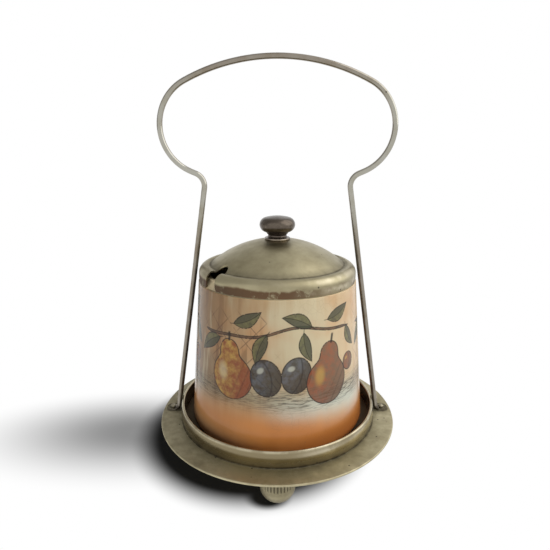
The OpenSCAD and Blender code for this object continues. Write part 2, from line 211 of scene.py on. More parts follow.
class Value:
    """A number or vector socket that can be used in an expression."""

    def __init__(self, paint, socket):
        self.paint = paint
        self.socket = socket

    def maths(self, operation, *others):
        inputs = dict(enumerate((self, *others)))
        return self.paint.node("ShaderNodeMath", {"operation": operation}, inputs)

    def __add__(self, other):
        return self.maths("ADD", other)

    __radd__ = __add__

    def __sub__(self, other):
        return self.maths("SUBTRACT", other)

    def __rsub__(self, other):
        return self.paint.node("ShaderNodeMath", {"operation": "SUBTRACT"}, {0: other, 1: self})

    def __mul__(self, other):
        return self.maths("MULTIPLY", other)

    __rmul__ = __mul__

    def __truediv__(self, other):
        return self.maths("DIVIDE", other)

    def __neg__(self):
        return self.maths("MULTIPLY", -1)

    def __abs__(self):
        return self.maths("ABSOLUTE")

    def greater(self, other):
        return self.maths("MAXIMUM", other)

    def lesser(self, other):
        return self.maths("MINIMUM", other)

    def rise(self, low, high):
        """0 below low and 1 above high, with a soft step between. Low may be the greater."""
        return self.paint.node("ShaderNodeMapRange", {"interpolation_type": "SMOOTHSTEP"},
                               {"Value": self, "From Min": low, "From Max": high})

    def within(self, low, high, soft):
        """1 between two values, with soft edges."""
        return self.rise(low, low + soft) * self.rise(high, high - soft)

    def near(self, place, reach):
        """1 at a place, falling softly to 0 at the given reach from it."""
        return abs(self - place).rise(reach, 0)


class Paint:
    """The nodes of a new material or world, added one expression at a time."""

    def __init__(self, owner):
        self.owner = owner
        owner.use_nodes = True
        self.tree = owner.node_tree
        self.tree.nodes.clear()
        self.place = self.node("ShaderNodeTexCoord", out="Object")
        self.x, self.y, self.z = self.parts(self.place)

    def add(self, kind, settings=None, inputs=None):
        """Adds a node, sets it up and fills its sockets with values or links."""
        made = self.tree.nodes.new(kind)
        for key, setting in (settings or {}).items():
            setattr(made, key, setting)
        for key, given in (inputs or {}).items():
            self.fill(made.inputs[key], given)
        return made

    def node(self, kind, settings=None, inputs=None, out=0):
        """Adds a node and returns one of its outputs."""
        return Value(self, self.add(kind, settings, inputs).outputs[out])

    def fill(self, socket, given):
        if isinstance(given, Value):
            self.tree.links.new(given.socket, socket)
        elif socket.type == "RGBA":
            socket.default_value = (*tuple(given)[:3], 1)
        else:
            socket.default_value = given

    def parts(self, vector):
        """The three numbers of a vector."""
        return [Value(self, s) for s in self.add("ShaderNodeSeparateXYZ", None, {0: vector}).outputs]

    def vector(self, x=0.0, y=0.0, z=0.0):
        return self.node("ShaderNodeCombineXYZ", None, {0: x, 1: y, 2: z})

    def length(self, vector):
        """How long a vector is."""
        return self.node("ShaderNodeVectorMath", {"operation": "LENGTH"}, {0: vector}, out="Value")

    def from_axis(self, centre=(0.0, 0.0)):
        """Distance from an upright axis."""
        return self.length(self.vector(self.x - centre[0], self.y - centre[1]))

    def mix(self, share, low, high):
        """Goes from one colour to another."""
        return self.node("ShaderNodeMix", {"data_type": "RGBA"}, {0: share, 6: low, 7: high}, out=2)

    def shade(self, tint, share):
        """Multiplies a colour by a grey value."""
        grey = self.node("ShaderNodeCombineColor", None, {0: share, 1: share, 2: share})
        return self.node("ShaderNodeMix", {"data_type": "RGBA", "blend_type": "MULTIPLY"},
                         {0: 1.0, 6: tint, 7: grey}, out=2)

    def noise(self, scale, at=None, detail=3.0, rough=0.55):
        """Cloudy values from 0 to 1."""
        return self.node("ShaderNodeTexNoise", None,
                         {"Vector": at or self.place, "Scale": scale, "Detail": detail, "Roughness": rough})

    def cells(self, scale, feature="F1", out="Distance"):
        """Cell distances or cell colours."""
        return self.node("ShaderNodeTexVoronoi", {"feature": feature},
                         {"Vector": self.place, "Scale": scale}, out=out)

    def bump(self, height, strength, reach):
        """A normal that follows a fine relief."""
        return self.node("ShaderNodeBump", None, {"Strength": strength, "Distance": reach, "Height": height})

    def ray(self, kind):
        """1 for light rays of one kind, such as Camera."""
        return self.node("ShaderNodeLightPath", out=f"Is {kind} Ray")

    def blend(self, share, low, high):
        """Goes from one shader to another."""
        return self.node("ShaderNodeMixShader", None, {0: share, 1: low, 2: high})

    def glow(self, tint):
        """A shader that gives off light of its own."""
        return self.node("ShaderNodeEmission", None, {"Color": tint, "Strength": 1})

    def surface(self, **sockets):
        """Ends the material with a principled surface."""
        inputs = {key.replace("_", " "): given for key, given in sockets.items()}
        return self.end(self.node("ShaderNodeBsdfPrincipled", None, inputs))

    def end(self, shader, kind="ShaderNodeOutputMaterial"):
        """Feeds a shader to the output and returns the finished material or world."""
        self.add(kind, None, {"Surface": shader})
        return self.owner


def new_paint(name):
    """The nodes of a new material."""
    return Paint(bpy.data.materials.new(name))


# Metal finishes

SPUN_LINES = 5200  # to the metre
TURNED_LINES = 3600  # to the metre
METAL_RELIEF = 0.05 * MM


def pits(paint, scale, amount):
    """Small scattered dark pits."""
    spot = paint.cells(scale)
    lot = paint.node("ShaderNodeSeparateColor", None, {0: paint.cells(scale, out="Color")})
    return spot.rise(0.16, 0.06) * lot.rise(1 - amount, 1 - amount + 0.02)


def lathe_lines(paint, radius, count):
    """Fine lines round an axis, so many to the metre."""
    return paint.noise(1, at=paint.vector(radius * count, paint.z * count), detail=2)


def plated_metal(name, finishes, centre=(0.0, 0.0), dull=0.0, wear=None, grime_and_shade=None, clean=None,
                 bright=None, rub_and_sheen=None, spun=1.0, gloss=0.27, pitted=0.07):
    """Old plated sheet: spun lines, clouds of tarnish, pits, and given masks of wear, soiling, a brown inner wall and
    rubbing, which also lay painted shade, a painted reflection and painted highlights.
    """
    paint = new_paint(name)
    clouds = paint.noise(38, detail=4)
    mottle = paint.noise(210, detail=5, rough=0.65)
    lines = lathe_lines(paint, paint.from_axis(centre), SPUN_LINES)
    film = (clouds * 0.7 + mottle * 0.45 + dull).rise(0.42, 0.86)
    tint = paint.mix(film * 0.8, clean or finishes.plate_silver, finishes.tarnish)
    tint = paint.shade(tint, 1 - 0.07 * spun + lines * (0.14 * spun))
    rough = gloss + 0.16 * film + lines * (0.07 * spun)
    # Layers of mask, colour, cover and roughness change. The brown layer is painted reflection and shade; the others
    # mix real wear with painted shade and painted highlights.
    for mask, layer, cover, change in ((wear, finishes.copper_and_shade, 1, 0.1), (bright, finishes.shade, 0.8, -0.13),
                                       (rub_and_sheen, finishes.rub_and_sheen, 1, -0.1)):
        if mask:
            share = mask(paint, mottle)
            tint = paint.mix(share * cover, tint, layer)
            rough = rough + change * share
    spots = pits(paint, 300, pitted) * (clouds + mottle).rise(0.84 - 0.6 * pitted, 1.04 - 0.6 * pitted)
    # Pits are real; the dark mask adds soiling and painted shade.
    dirt_and_shade = spots.greater(grime_and_shade(paint, mottle)) if grime_and_shade else spots
    height = lines * (0.25 * spun) + mottle * 0.5 - spots
    return paint.surface(
        Base_Color=paint.mix(dirt_and_shade * 0.85, tint, finishes.grime_and_shade),
        Metallic=1 - 0.55 * dirt_and_shade,
        Roughness=rough + 0.3 * dirt_and_shade,
        Normal=paint.bump(height, 0.14, METAL_RELIEF),
    )


def knob_bronze(name, finishes, sizes, low):
    """Dark turned bronze, paler from wear on the cap's edge and on the flange."""
    paint = new_paint(name)
    radius = paint.from_axis()
    mottle = paint.noise(260, detail=5, rough=0.65)
    lines = lathe_lines(paint, radius, TURNED_LINES)
    rub_and_sheen = radius.rise(0.82 * sizes.knob, 1.02 * sizes.knob) * mottle.rise(0.35, 0.7) * 0.15
    flange = paint.z.rise(low + 1.3 * sizes.flange_height, low + 0.6 * sizes.flange_height)
    pale = rub_and_sheen.greater(flange * mottle.rise(0.3, 0.6) * 0.8)
    tint = paint.mix(pale, finishes.bronze, finishes.bronze_worn)
    return paint.surface(
        Base_Color=paint.shade(tint, 0.88 + 0.24 * mottle),
        Metallic=0.9,
        Roughness=0.2 + 0.14 * mottle - 0.05 * lines,
        Normal=paint.bump(lines * 0.5 + mottle * 0.4, 0.12, METAL_RELIEF),
    )


# Pottery finish

class Drawing:
    """A painted design on the jar's wall, in millimetres round and up the wall."""

    def __init__(self, paint, ground, across, up, ink):
        self.paint = paint
        self.tint = ground
        self.ink = ink
        self.across, self.up = across, up
        self.plane = paint.vector(across, up)
        self.hand = paint.noise(0.9, at=self.plane, detail=2)
        self.wash = paint.noise(0.35, at=self.plane, detail=4, rough=0.6)

    def local(self, place, turn, size):
        """The plane moved, turned and scaled so that a motif lies within one of its middle."""
        return self.paint.node("ShaderNodeMapping", {"vector_type": "TEXTURE"}, {
            "Vector": self.plane, "Location": (*place, 0),
            "Rotation": (0, 0, math.radians(turn)), "Scale": (*size, 1),
        })

    def put(self, share, tint):
        """Lays a colour over what is there."""
        self.tint = self.paint.mix(share, self.tint, tint)

    def lay(self, edge, fill, dark, line=0.32):
        """Lays a washed fill inside an edge distance, then its drawn outline."""
        inside = edge.rise(0.12, -0.12)
        washed = self.paint.mix(self.wash.rise(0.3, 0.72), fill, dark)
        self.put(inside * 0.9, washed)
        drawn = abs(edge).rise(line * 1.1, line * 0.35) * self.hand.rise(0.28, 0.46)
        self.put(drawn * 0.9, self.ink)

    def hatch(self, edge, lines, share):
        """Shades a fill with drawn strokes."""
        strokes = lines.maths("PINGPONG", 0.5).rise(0.3, 0.48) * edge.rise(-0.1, -0.7)
        strokes = strokes * self.hand.rise(0.25, 0.5)
        self.put(strokes * share * 0.45, self.ink)

    def plum(self, place, size, turn, fill, dark, light):
        """A round fruit with a crease and a glint."""
        spot = self.local(place, turn, size)
        x, y, _ = self.paint.parts(spot)
        edge = (self.paint.length(spot) - 1) * min(size)
        side = (x * 0.8 - y * 0.5).rise(-0.5, 0.9)
        shaded = self.paint.mix(side, fill, dark)
        self.lay(edge, shaded, dark)
        self.hatch(edge, x * 2.6 + y * 1.4, (x * 0.8 - y * 0.6).rise(-0.1, 0.7))
        crease_and_shade = abs(x - 0.35 + 0.35 * y * y).rise(0.09, 0.02) * edge.rise(0, -0.5)
        self.put(crease_and_shade * 0.55, self.ink)
        lit = (place[0] - 0.35 * size[0], place[1] + 0.4 * size[1])
        glint = self.paint.length(self.local(lit, turn + 30, (0.3 * size[0], 0.18 * size[1])))
        self.put(glint.rise(1.1, 0.5) * 0.6, light)

    def pear(self, place, size, turn, fill, blush, light):
        """A pear with its stem and a glint."""
        spot = self.local(place, turn, (size, size))
        x, y, _ = self.paint.parts(spot)
        body = self.paint.length(self.paint.vector(x, y + 0.25)) - 0.86
        top = self.paint.length(self.paint.vector(x, y - 0.78)) - 0.4
        edge = body.maths("SMOOTH_MIN", top, 0.5) * size
        side = (x * 0.9 - y * 0.35 + (self.wash - 0.5) * 0.8).rise(-0.35, 0.75)
        self.lay(edge, self.paint.mix(side, fill, blush), blush)
        self.hatch(edge, x * 3.4 - y * 1.8, (x * 0.8 - y * 0.4).rise(-0.1, 0.8))
        glint = self.paint.length(self.paint.vector((x + 0.36) * 2.6, (y + 0.05) * 1.5))
        self.put(glint.rise(0.75, 0.2) * 0.6, light)
        stem = abs(x + 0.08 - 0.1 * y).rise(0.07, 0.03) * y.rise(1.08, 1.14) * y.rise(1.5, 1.42)
        self.put(stem * 0.9, self.ink)

    def leaf(self, place, size, turn, fill, dark):
        """A pointed leaf with its rib and veins."""
        spot = self.local(place, turn, (size, size))
        x, y, _ = self.paint.parts(spot)
        lean = y - 0.16 * x * x
        edge = (abs(lean) - (1 - x * x) * (0.4 - 0.1 * x).greater(0.2)) * (0.8 * size)
        self.lay(edge, self.paint.mix(lean.rise(-0.1, 0.12), fill, dark), dark, line=0.26)
        rib = abs(lean).rise(0.045, 0.015) * x.rise(1, 0.8) * x.rise(-1.3, -1.2)
        veins = (x * 4.2 - abs(lean) * 3.4).maths("PINGPONG", 0.5).rise(0.44, 0.5) * edge.rise(-0.2, -0.6)
        self.put(rib.greater(veins * 0.45) * 0.65, self.ink)

    def twig(self, low, high, height, fill):
        """A waving bough between two places round the wall."""
        wave = (self.across * 0.085 + 0.6).maths("SINE") * 2.4 + (self.across * 0.21).maths("SINE") * 0.7
        ends = self.across.rise(low, low + 3) * self.across.rise(high, high - 8)
        edge = abs(self.up - (wave + height)) - ends * 0.55
        self.lay(edge.greater(0.3 - ends), fill, self.ink, line=0.22)


def glazed_jar(name, finishes, jar, low):
    """Glossy glaze over brushed shading, an amber foot and a drawn bough of fruit, three times round.

    Places on the wall are in millimetres, up from its foot and round from the middle of each repeat.
    """
    paint = new_paint(name)
    top = jar.height / MM
    around = paint.x.maths("ARCTAN2", -paint.y)
    up = (paint.z - low) / MM
    repeats = 3
    mean_radius = (jar.base_radius + jar.top_radius) / 2 / MM
    repeat = mean_radius * math.tau / repeats
    cell = (around * mean_radius).maths("WRAP", repeat / 2, -repeat / 2)
    swing = (around * repeats).maths("SINE")
    brush = paint.noise(1, at=paint.vector(paint.x * 150, paint.y * 150, paint.z * 14), detail=4, rough=0.6)
    cloud = paint.noise(24, detail=3)
    streak = paint.noise(1, at=paint.vector(paint.x * 55, paint.y * 55, paint.z * 800), detail=3, rough=0.6)

    blotch = paint.noise(30, detail=3)
    glow = cell.near(7, 26) * up.near(54, 17)
    tanned = 0.66 + (brush - 0.5) * 1.3 + (cloud - 0.5) * 1.5 - swing.rise(-0.7, 1) * 0.3 - glow * 0.3
    design = Drawing(paint, finishes.cream, cell, up, finishes.ink)
    design.put(tanned.rise(0.1, 0.95), finishes.tan)
    # Painted shade: the left side, away from the key light, is darkened with biscuit and keeps less mist; the bark
    # and cream streaks there are brushwork.
    left = paint.x.rise(-4 * MM, -36 * MM)
    design.put(left * (0.25 + 0.5 * up.rise(18, 30)), finishes.biscuit)
    design.put(left * up.rise(22, 30) * brush.rise(0.5, 0.62) * 0.5, finishes.bark)
    design.put(left * up.rise(22, 30) * brush.rise(0.44, 0.36) * 0.5, finishes.cream)
    # Painted light: the upper right, towards the key light, is lightened with pale glaze and a warm tone; the random
    # blotches that follow are brushwork.
    right = paint.x.rise(12 * MM, 36 * MM) * up.rise(24, 34)
    design.put(right * 0.6, finishes.lining_and_light)
    design.put(right * (0.1 + 0.5 * brush), finishes.peach_and_warm_light)
    design.put(blotch.rise(0.5, 0.72) * up.rise(26, 40) * 0.7, finishes.peach_and_warm_light)
    cool = (up + (cloud - 0.5) * 14).near(21, 12) * swing.rise(-1, 0.5)
    design.put(cool * (1 - 0.7 * left), finishes.mist)
    ground = up.near(26.5, 8.5) * (0.78 + 0.22 * swing)
    design.put(ground * (0.3 + 0.45 * cloud) * (0.7 - 0.4 * swing), finishes.fern)
    strokes = streak.within(0.52, 0.63, 0.04).greater(streak.within(0.37, 0.44, 0.02))
    design.put(strokes * ground * 0.85, finishes.ink)
    upright = brush.within(0.56, 0.66, 0.04) * swing.rise(0.1, -0.7) * up.near(42, 26)
    design.put(upright * 0.45, finishes.bark)
    pitch = repeat / 9
    laths = ((cell + up) / pitch).maths("PINGPONG", 0.5).lesser(((cell - up) / pitch).maths("PINGPONG", 0.5))
    lattice = laths.rise(0.05, 0.02) * brush.rise(0.4, 0.55) * swing.rise(0.2, -0.5)
    design.put(lattice * up.rise(26, 31) * up.rise(66, 60) * 0.6, finishes.bark)

    design.twig(-38, 39, 55, finishes.bark)
    for place, size, turn in (((-34, 48), 7.5, 215), ((-13, 60.5), 7, 25), ((-8, 49), 7, 250),
                              ((9, 61), 7, 160), ((12, 49), 6.5, 285), ((30, 61), 7, 20),
                              ((37, 49), 6, 300)):
        design.leaf(place, size, turn, finishes.olive, finishes.fern)
    design.pear((-21, 38), 11.5, 6, finishes.ochre, finishes.rust, finishes.cream)
    design.plum((-5, 36.5), (6.6, 8), 12, finishes.slate, finishes.ink, finishes.mist)
    design.plum((8, 37.5), (6.4, 7.8), -14, finishes.slate, finishes.ink, finishes.mist)
    design.pear((23, 36), 12, -6, finishes.rust, finishes.bark, finishes.ochre)
    design.plum((36, 38), (3.8, 4), 0, finishes.rust, finishes.bark, finishes.ochre)

    lower = paint.x.rise(8 * MM, 34 * MM) * 4
    band = (up + lower + swing * 0.8 + (cloud - 0.5) * 8 + (brush - 0.5) * 3).rise(26, 13)
    # On the left the amber and umber are thinned and cream is laid over the foot: painted light that lifts the foot
    # on the shaded side.
    design.put(band * (0.95 - 0.2 * left), finishes.amber)
    deep = up.rise(15, 1) * 0.4 + band * cloud.rise(0.42, 0.62) * 0.3
    design.put(deep * (1 - 0.7 * left), finishes.umber)
    design.put(left * up.rise(15, 4) * 0.3, finishes.cream)
    taper = (jar.base_radius - jar.top_radius) / jar.height
    depth = jar.base_radius - paint.from_axis() - (paint.z - low) * taper
    inside = depth.rise(0.6 * MM, 1.3 * MM) * up.rise(jar.base_round / MM, jar.base_round / MM + 0.8)
    # Pale glaze inside the jar is real; above the ledge it also lightens the neck as painted light under the lid.
    design.put(inside.greater(up.rise(top - 0.2, top + 0.2)) * 0.95, finishes.lining_and_light)
    craze = paint.cells(330, "DISTANCE_TO_EDGE").rise(0.035, 0.01) * paint.noise(40).rise(0.5, 0.62)
    specks = pits(paint, 420, 0.04)
    design.put(craze * 0.14, finishes.bark)
    design.put(specks * 0.4, finishes.bark)
    return paint.surface(
        Base_Color=design.tint,
        Roughness=0.16 + 0.1 * brush + 0.1 * specks,
        IOR=1.32,
        Coat_Weight=0.1,
        Coat_Roughness=0.06,
        Normal=paint.bump(brush * 0.6 + cloud - craze * 0.2, 0.1, 0.08 * MM),
    )


# Modelling steps

def start_clean():
    """Leaves edit mode and lets go of everything."""
    if bpy.context.object and bpy.context.object.mode != "OBJECT":
        bpy.ops.object.mode_set(mode="OBJECT")
    bpy.ops.object.select_all(action="DESELECT")


def hold(piece, mode="OBJECT"):
    """Makes a piece the only selected one and enters a mode on it."""
    start_clean()
    bpy.context.view_layer.objects.active = piece
    piece.select_set(True)
    bpy.ops.object.mode_set(mode=mode)


def take_all():
    """Selects all of the piece in edit mode."""
    bpy.ops.mesh.select_all(action="SELECT")


def between(first, last, steps):
    """Points inside a straight run, without its ends."""
    return [tuple(a + (b - a) * i / steps for a, b in zip(first, last)) for i in range(1, steps)]


def arc(centre, radius, first, last, steps):
    """Points on an arc between two angles in degrees."""
    turns = [math.radians(first + (last - first) * i / steps) for i in range(steps + 1)]
    return [(centre[0] + radius * math.cos(t), centre[1] + radius * math.sin(t)) for t in turns]


def meet(a, radius_a, b, radius_b, side):
    """The angle on circle a, in degrees, at which it meets circle b on one side."""
    gap = math.dist(a, b)
    off = math.acos(min(1, (radius_a ** 2 + gap ** 2 - radius_b ** 2) / (2 * radius_a * gap)))
    return math.degrees(math.atan2(b[1] - a[1], b[0] - a[0]) + side * off)


def draw(name, points):
    """Starts a piece in edit mode and draws a line through points, vertex by vertex."""
    start_clean()
    bpy.ops.mesh.primitive_plane_add(size=MM)
    piece = bpy.context.object
    piece.name = piece.data.name = name
    bpy.ops.object.mode_set(mode="EDIT")
    bpy.ops.mesh.select_mode(type="VERT")
    take_all()
    bpy.ops.mesh.merge(type="CENTER")
    take_all()
    bpy.ops.transform.translate(value=points[0])
    for before, after in zip(points, points[1:]):
        step = Vector(after) - Vector(before)
        if step.length > 0.001 * MM:
            bpy.ops.mesh.extrude_vertices_move(TRANSFORM_OT_translate={"value": step})
    return piece


def close_up():
    """Merges doubles and turns the faces outwards, then leaves edit mode."""
    take_all()
    bpy.ops.mesh.remove_doubles(threshold=0.002 * MM)
    bpy.ops.mesh.normals_make_consistent(inside=False)
    bpy.ops.object.mode_set(mode="OBJECT")


def lathe(name, outline, steps, centre=(0.0, 0.0)):
    """Spins an outline of radius and height round an upright axis."""
    piece = draw(name, [(centre[0] + r, centre[1], z) for r, z in outline])
    take_all()
    bpy.ops.mesh.spin(steps=steps, angle=math.tau, center=(*centre, 0), axis=(0, 0, 1))
    close_up()
    return piece


def prism(name, outline, way):
    """Fills an outline of points and extrudes it."""
    piece = draw(name, outline)
    take_all()
    bpy.ops.mesh.edge_face_add()
    bpy.ops.mesh.extrude_region_move(TRANSFORM_OT_translate={"value": way})
    close_up()
    return piece


def turn(degrees, centre, axis):
    """Turns what is selected round a point, counter-clockwise seen against the axis."""
    bpy.ops.transform.rotate(value=-math.radians(degrees), orient_axis=axis, center_override=centre)


def pick(piece, wanted):
    """Selects the vertices of the piece in edit mode whose place passes a test."""
    bpy.ops.mesh.select_all(action="DESELECT")
    mesh = bmesh.from_edit_mesh(piece.data)
    for vertex in mesh.verts:
        vertex.select_set(wanted(vertex.co))
    mesh.select_flush_mode()
    bmesh.update_edit_mesh(piece.data)


def cut_away(piece, cutter):
    """Cuts one piece out of another and removes the cutter."""
    hold(piece)
    cutting = piece.modifiers.new("cut", "BOOLEAN")
    cutting.object = cutter
    cutting.solver = "EXACT"
    bpy.ops.object.modifier_apply(modifier=cutting.name)
    bpy.data.objects.remove(cutter)


def settle(piece, body, node, material, sharp=38):
    """Smooths a finished piece, gives it its material and sets it on its body for its node."""
    hold(piece)
    bpy.ops.object.shade_smooth_by_angle(angle=math.radians(sharp))
    piece.data.materials.clear()
    piece.data.materials.append(material)
    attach(piece, body)
    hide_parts(node)
    piece.select_set(False)


class Step(Operator):
    """One step of the model."""
    bl_options = {"REGISTER", "UNDO"}

    @classmethod
    def poll(cls, context):
        return context.scene is not None


# Stand

FOOT_TURNS = {"front": 270, "rear_right": 30, "rear_left": 150}


def foot_centre(sizes, degrees):
    """The middle of the foot that stands in a direction from the axis."""
    return arc((0, 0), sizes.foot_circle, degrees, degrees, 1)[0]


class JAR_OT_plate(Step):
    """Models the plate with its rounded edge"""
    bl_idname = "jar.plate"
    bl_label = "Plate"

    def execute(self, context):
        s = context.scene.stand_sizes
        edge = s.plate_sheet / 2
        low = s.plate_top - s.plate_sheet
        inner, outer = 0.4 * s.plate_radius, 0.8 * s.plate_radius
        outline = [(r, s.plate_top) for r in (0, inner, outer, s.ring_radius + 2 * MM, s.plate_radius - 4 * edge)]
        outline += arc((s.plate_radius - edge, low + edge), edge, 90, -90, 16)
        outline += [(r, low) for r in (outer, inner, 0)]
        plate = lathe("tray_plate", outline, 192)

        def above(paint):
            return paint.z.rise(s.plate_top - 0.2 * MM, s.plate_top)

        def in_ring(paint):
            return paint.from_axis().rise(s.ring_radius - 0.5 * s.ring_wall, s.ring_radius - s.ring_wall)

        # The dark mask on the plate: darker along the ring's foot; painted shade with mottled stains over the plate
        # inside the ring; painted shadows round the handle's flat ends; painted shade over the plate's left side.
        def crease_and_shade(paint, mottle):
            radius = paint.from_axis()
            near_ring = radius.near(s.ring_radius, 1.1 * MM) * mottle.rise(0.2, 0.6)
            stain_and_shade = in_ring(paint) * (0.2 + 0.5 * paint.noise(55, detail=4)) * (1 - 0.6 * jar_mark(paint))
            tab = paint.length(paint.vector((abs(paint.x) - s.rivet_place).greater(0), paint.y))
            rim = context.scene.handle_sizes.tab_half
            tab_shadows = tab.rise(rim + 1.1 * MM, rim + 0.2 * MM) * radius.rise(s.ring_radius - 1 * MM, s.ring_radius)
            painted_left_shade = paint.x.rise(-8 * MM, -50 * MM) * (0.18 + 0.3 * mottle)
            return near_ring.greater(stain_and_shade).greater(tab_shadows * (0.4 + 0.6 * mottle)).greater(painted_left_shade) * above(paint)

        def jar_mark(paint):
            foot = context.scene.jar_sizes.recess + 3 * MM
            return paint.from_axis().near(foot, 2.6 * MM) * paint.noise(120, detail=4).rise(0.3, 0.6)

        # Reddish-brown over the plate inside the ring: partly plate wear, partly painted shade of the narrow gap;
        # paler where the jar's foot wears it.
        def inside_wear_and_shade(paint, mottle):
            return in_ring(paint) * above(paint) * (0.95 - 0.35 * mottle - 0.35 * jar_mark(paint))

        finishes = context.scene.jar_finishes
        metal = plated_metal("plate_metal", finishes, dull=0.02, wear=inside_wear_and_shade, grime_and_shade=crease_and_shade,
                             clean=finishes.plate_clean, gloss=0.42, pitted=0.3)
        settle(plate, "stand", "stand_plate", metal)
        return {"FINISHED"}


class JAR_OT_ring(Step):
    """Models the gallery ring with its rounded top"""
    bl_idname = "jar.ring"
    bl_label = "Gallery ring"

    def execute(self, context):
        s = context.scene.stand_sizes
        half = s.ring_wall / 2
        inner = s.ring_radius - s.ring_wall
        foot = (s.ring_radius, s.plate_top)
        top = (s.ring_radius - half, s.plate_top + s.ring_height - half)
        bend = math.radians(meet(foot, s.ring_swell, top, s.ring_swell - half, 1))
        centre = (foot[0] + s.ring_swell * math.cos(bend), foot[1] + s.ring_swell * math.sin(bend))
        first = math.degrees(math.atan2(foot[1] - centre[1], foot[0] - centre[0]))
        last = math.degrees(math.atan2(top[1] - centre[1], top[0] - centre[0]))
        outline = [(inner, s.plate_top)] + arc(centre, s.ring_swell, first, last, 12)
        outline += arc(top, half, last, 180, 12)[1:]
        outline += [(inner, s.plate_top + 0.5 * s.ring_height), (inner, s.plate_top)]
        ring = lathe("gallery_band", outline, 224)

        # Darker along the foot, and painted shade over the lower face.
        def dirt_and_shade(paint, mottle):
            up = paint.z - s.plate_top
            crease_and_shade = up.rise(1.2 * MM, 0.1 * MM) * mottle.rise(0.3, 0.6) * 0.8
            return crease_and_shade.greater(up.rise(4.2 * MM, 1.2 * MM) * (0.2 + 0.3 * mottle))

        # The brown layer on the inner wall: painted reflection of the jar's foot and painted shade of the gap.
        def inside(paint, mottle):
            return paint.from_axis().rise(inner + 0.6 * half, inner + 0.1 * half)

        # The top edge pale from wear, and painted highlights on the upper face on the right, towards the light.
        def rubs_and_highlights(paint, mottle):
            rim = paint.z.rise(top[1] - 0.6 * MM, top[1] + 0.3 * MM) * (1 - inside(paint, mottle))
            face = paint.z.near(top[1] - 1.6 * MM, 2.4 * MM) * paint.x.rise(0, 26 * MM)
            patchy = (paint.noise(90, detail=4) * 0.6 + mottle * 0.4).rise(0.4, 0.6)
            return (rim * 0.5).greater(face * 0.7) * (0.3 + 0.7 * patchy)

        finishes = context.scene.jar_finishes
        metal = plated_metal("ring_metal", finishes, dull=-0.05, grime_and_shade=dirt_and_shade, bright=inside, rub_and_sheen=rubs_and_highlights,
                             clean=finishes.ring_silver, gloss=0.16)
        settle(ring, "stand", "gallery_ring", metal)
        return {"FINISHED"}


class JAR_OT_feet(Step):
    """Models one reeded ball foot and copies it to its three places"""
    bl_idname = "jar.feet"
    bl_label = "Feet"

    columns = 8

    def execute(self, context):
        s = context.scene.stand_sizes
        height = s.plate_top - s.plate_sheet
        bowl = height / 2
        inward = s.foot_radius - bowl
        bowl_z = math.sqrt(bowl ** 2 - (s.foot_pad - inward) ** 2)
        shoulder = s.foot_radius - s.foot_neck
        drum_z = height - shoulder - s.foot_neck_height
        outline = [(0, 0)]
        outline += arc((inward, bowl_z), bowl, -math.degrees(math.asin(bowl_z / bowl)), 0, 20)
        outline += [(s.foot_radius, bowl_z + (drum_z - bowl_z) * share) for share in (0.2, 0.3, 0.6)]
        outline += arc((s.foot_neck, drum_z), shoulder, 0, 90, 10)
        outline += [(s.foot_neck, height), (0, height)]
        first = lathe("ball_foot_front", outline, s.reeds * self.columns)
        self.cut_reeds(first, s, bowl_z + (drum_z - bowl_z) * 0.25, drum_z + 0.6 * shoulder)
        others = [self.copy(first, "ball_foot_" + side) for side in list(FOOT_TURNS)[1:]]
        for (side, degrees), foot in zip(FOOT_TURNS.items(), [first] + others):
            node = "foot_" + side
            centre = foot_centre(s, degrees)
            self.put(foot, centre)
            metal = self.metal(node, context.scene.jar_finishes, s, centre)
            settle(foot, "stand", node, metal, sharp=50)
        return {"FINISHED"}

    def cut_reeds(self, foot, s, low, high):
        """Draws the columns between the reeds in towards the axis."""
        hold(foot, "EDIT")
        pitch = math.tau / s.reeds
        width = pitch / self.columns
        for offset, share in ((0, 1.0), (1, 0.9), (2, 0.5)):
            def in_groove(place):
                off = abs((math.atan2(place.y, place.x) + pitch / 2) % pitch - pitch / 2)
                return abs(off - offset * width) < width / 4 and low < place.z < high
            pick(foot, in_groove)
            shrink = 1 - share * s.reed_depth / s.foot_radius
            bpy.ops.transform.resize(value=(shrink, shrink, 1), center_override=(0, 0, 0))
        close_up()

    def copy(self, first, name):
        """Copies a foot under a name of its own."""
        hold(first)
        bpy.ops.object.duplicate()
        made = bpy.context.object
        made.name = made.data.name = name
        return made

    def put(self, foot, centre):
        """Moves the whole mesh of a foot to its place."""
        hold(foot, "EDIT")
        take_all()
        bpy.ops.transform.translate(value=(*centre, 0))
        bpy.ops.object.mode_set(mode="OBJECT")

    def metal(self, node, finishes, s, centre):
        """Plated metal, darkest in the grooves between the reeds, with painted shade over the reeded part under the
        plate and towards the bowl's bottom.
        """
        def dirt_and_shade(paint, mottle):
            deep = paint.from_axis(centre).rise(s.foot_radius - 0.2 * MM, s.foot_radius - 0.5 * MM)
            reeds = (0.3 + 0.7 * deep) * paint.z.rise(5 * MM, 7 * MM) * 0.9
            return reeds.greater(paint.z.rise(7.5 * MM, 0.5 * MM) * (0.3 + 0.4 * mottle))
        return plated_metal(node + "_metal", finishes, centre, grime_and_shade=dirt_and_shade)


